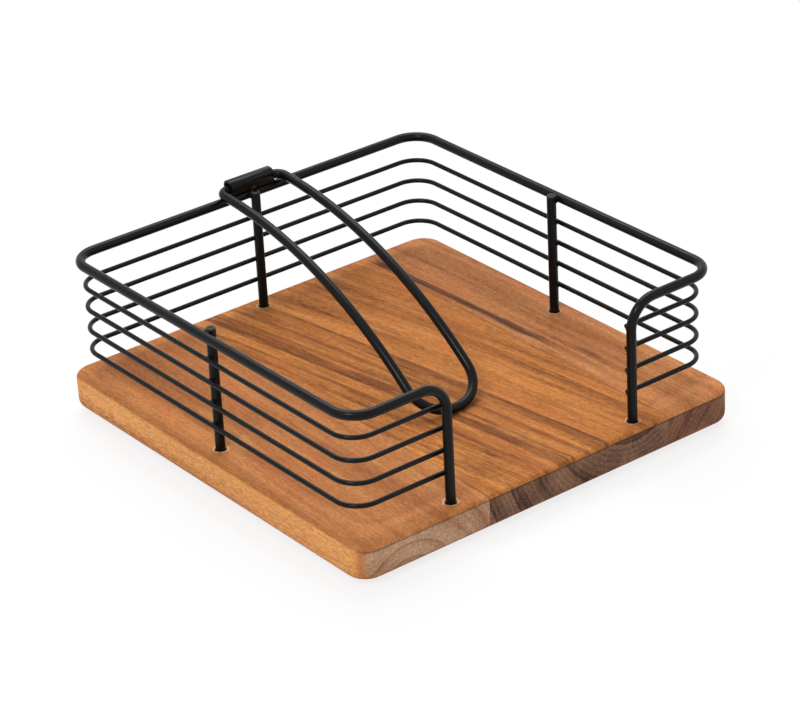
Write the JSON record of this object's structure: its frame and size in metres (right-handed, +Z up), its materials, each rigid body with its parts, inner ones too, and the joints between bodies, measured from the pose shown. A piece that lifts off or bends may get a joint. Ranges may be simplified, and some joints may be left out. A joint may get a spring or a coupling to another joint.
{
  "type": "napkin holder",
  "caption": "Wooden board with a low black wire cage, open at the front, and a curved wire arm hinged at the back that lies on a stack of flat napkins.",
  "frame": {"origin": "middle of the plane that the feet stand on, under the middle of the board", "axes": "+X to the right seen from the open front, +Y to the back where the arm is hinged, +Z up"},
  "size_m": [0.19, 0.198, 0.0763],
  "materials": {
    "wood": "oiled, satin",
    "black_wire": "satin black powder coat",
    "zinc": "zinc plated",
    "pad": "matte"
  },
  "bodies": {
    "tray": {"board": "wood", "top_rail": "black_wire", "side_wire_1": "black_wire", "side_wire_2": "black_wire", "side_wire_3": "black_wire", "side_wire_4": "black_wire", "post_left": "black_wire", "post_back": "black_wire", "post_right": "black_wire", "hinge_clip": "black_wire", "washer_front_left": "zinc", "washer_front_right": "zinc", "washer_left": "zinc", "washer_back": "zinc", "washer_right": "zinc", "nut_front_left": "zinc", "nut_front_right": "zinc", "nut_left": "zinc", "nut_back": "zinc", "nut_right": "zinc", "foot_front_left": "pad", "foot_front_right": "pad", "foot_back_left": "pad", "foot_back_right": "pad"},
    "arm": {"press_arm": "black_wire"}
  },
  "joints": [
    {"name": "arm_hinge", "type": "hinge", "parent": "tray", "child": "arm", "pos_m": [0, 0.0953, 0.0733], "axis": [-1, 0, 0], "range_deg": [0, 210]}
  ]
}
